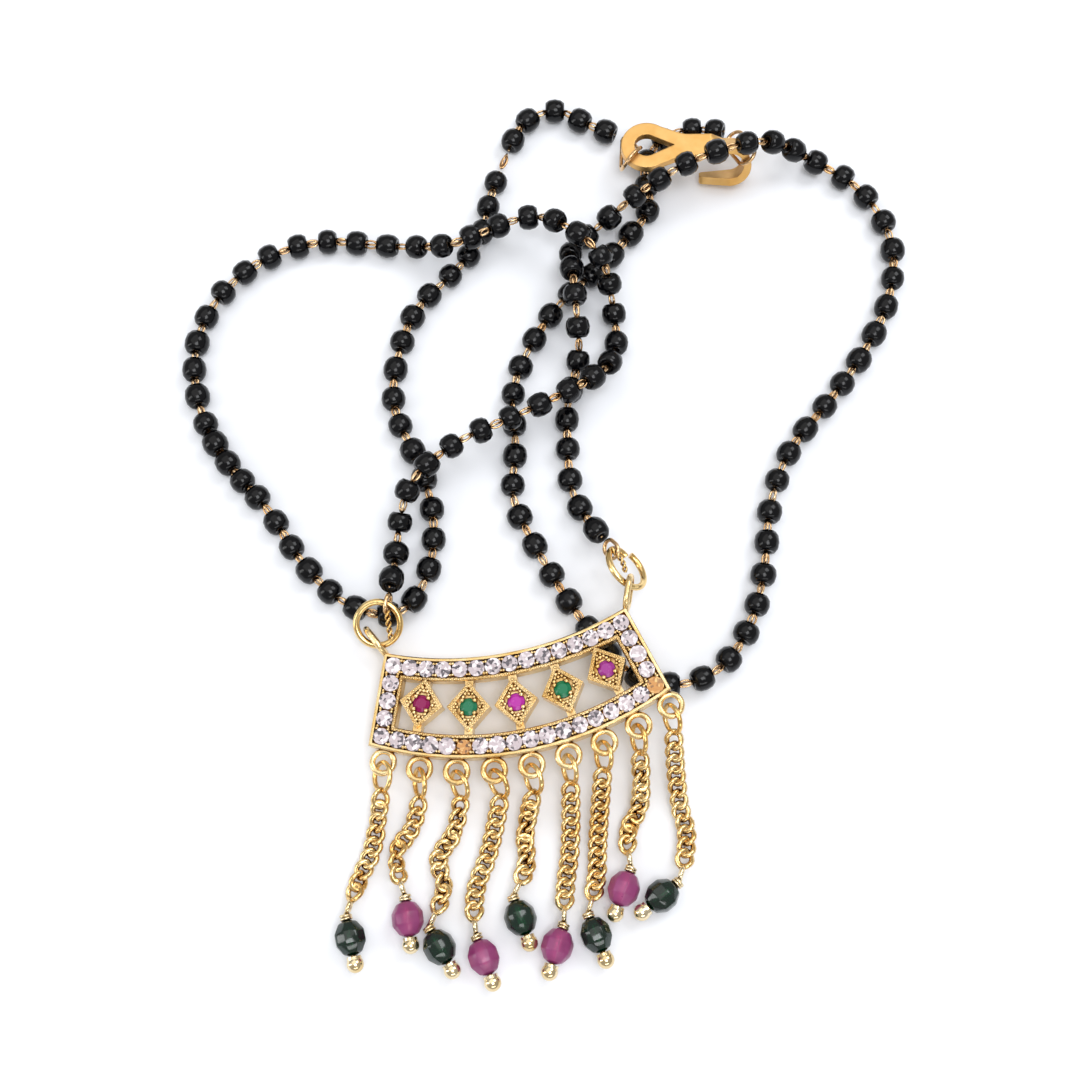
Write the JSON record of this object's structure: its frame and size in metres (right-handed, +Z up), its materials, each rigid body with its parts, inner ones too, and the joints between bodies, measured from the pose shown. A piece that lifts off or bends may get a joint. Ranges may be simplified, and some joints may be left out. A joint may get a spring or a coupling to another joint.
{
  "type": "mangalsutra",
  "caption": "Bead and wire link necklace lying in loose loops, with an arched stone set pendant, a fringe of short chain tassels with glass beads, and a flat hook clasp.",
  "frame": {"origin": "on the surface that it lies on, under the middle of the object's box", "axes": "+X along the pendant's long way, +Y from the tassels towards the clasp, +Z up from the surface"},
  "size_m": [0.0841, 0.1041, 0.009],
  "materials": {
    "pendant_gold": "polished pale yellow gold plating, granulated in the settings",
    "ring_gold": "polished gold plated wire",
    "clasp_gold": "matt tan gold plating, worn smooth",
    "link_gold": "polished gold plated wire with a rose tint",
    "chain_gold": "polished gold plated curb chain",
    "black_beads": "opaque glossy black glass seed beads on wire links",
    "pink_glass": "deep pink faceted glass",
    "green_glass": "deep green faceted glass",
    "pave_crystal": "small clear round stones set close in gold",
    "red_stone": "dark red cut stone",
    "green_stone": "dark green cut stone"
  },
  "bodies": {
    "root": {"pendant_frame": "pendant_gold", "pave_band": "pave_crystal", "centre_stone_1": "red_stone", "centre_stone_2": "green_stone", "centre_stone_3": "red_stone", "centre_stone_4": "green_stone", "centre_stone_5": "red_stone", "jump_ring_left": "ring_gold", "jump_ring_right": "ring_gold", "clasp_hook": "clasp_gold", "end_loop_clasp": "link_gold", "end_loop_hook": "link_gold", "end_loop_left_ring": "link_gold", "end_loop_right_ring": "link_gold", "strand_left_1": "black_beads", "strand_left_2": "black_beads", "strand_left_3": "black_beads", "strand_left_4": "black_beads", "strand_left_5": "black_beads", "strand_right_1": "black_beads", "strand_right_2": "black_beads", "strand_right_3": "black_beads", "strand_right_4": "black_beads", "strand_right_5": "black_beads", "tassel_ring_1": "ring_gold", "tassel_chain_1": "chain_gold", "glass_bead_1": "green_glass", "head_pin_1": "ring_gold", "tassel_ring_2": "ring_gold", "tassel_chain_2": "chain_gold", "glass_bead_2": "pink_glass", "head_pin_2": "ring_gold", "tassel_ring_3": "ring_gold", "tassel_chain_3": "chain_gold", "glass_bead_3": "green_glass", "head_pin_3": "ring_gold", "tassel_ring_4": "ring_gold", "tassel_chain_4": "chain_gold", "glass_bead_4": "pink_glass", "head_pin_4": "ring_gold", "tassel_ring_5": "ring_gold", "tassel_chain_5": "chain_gold", "glass_bead_5": "green_glass", "head_pin_5": "ring_gold", "tassel_ring_6": "ring_gold", "tassel_chain_6": "chain_gold", "glass_bead_6": "pink_glass", "head_pin_6": "ring_gold", "tassel_ring_7": "ring_gold", "tassel_chain_7": "chain_gold", "glass_bead_7": "green_glass", "head_pin_7": "ring_gold", "tassel_ring_8": "ring_gold", "tassel_chain_8": "chain_gold", "glass_bead_8": "pink_glass", "head_pin_8": "ring_gold", "tassel_ring_9": "ring_gold", "tassel_chain_9": "chain_gold", "glass_bead_9": "green_glass", "head_pin_9": "ring_gold"}
  },
  "joints": []
}
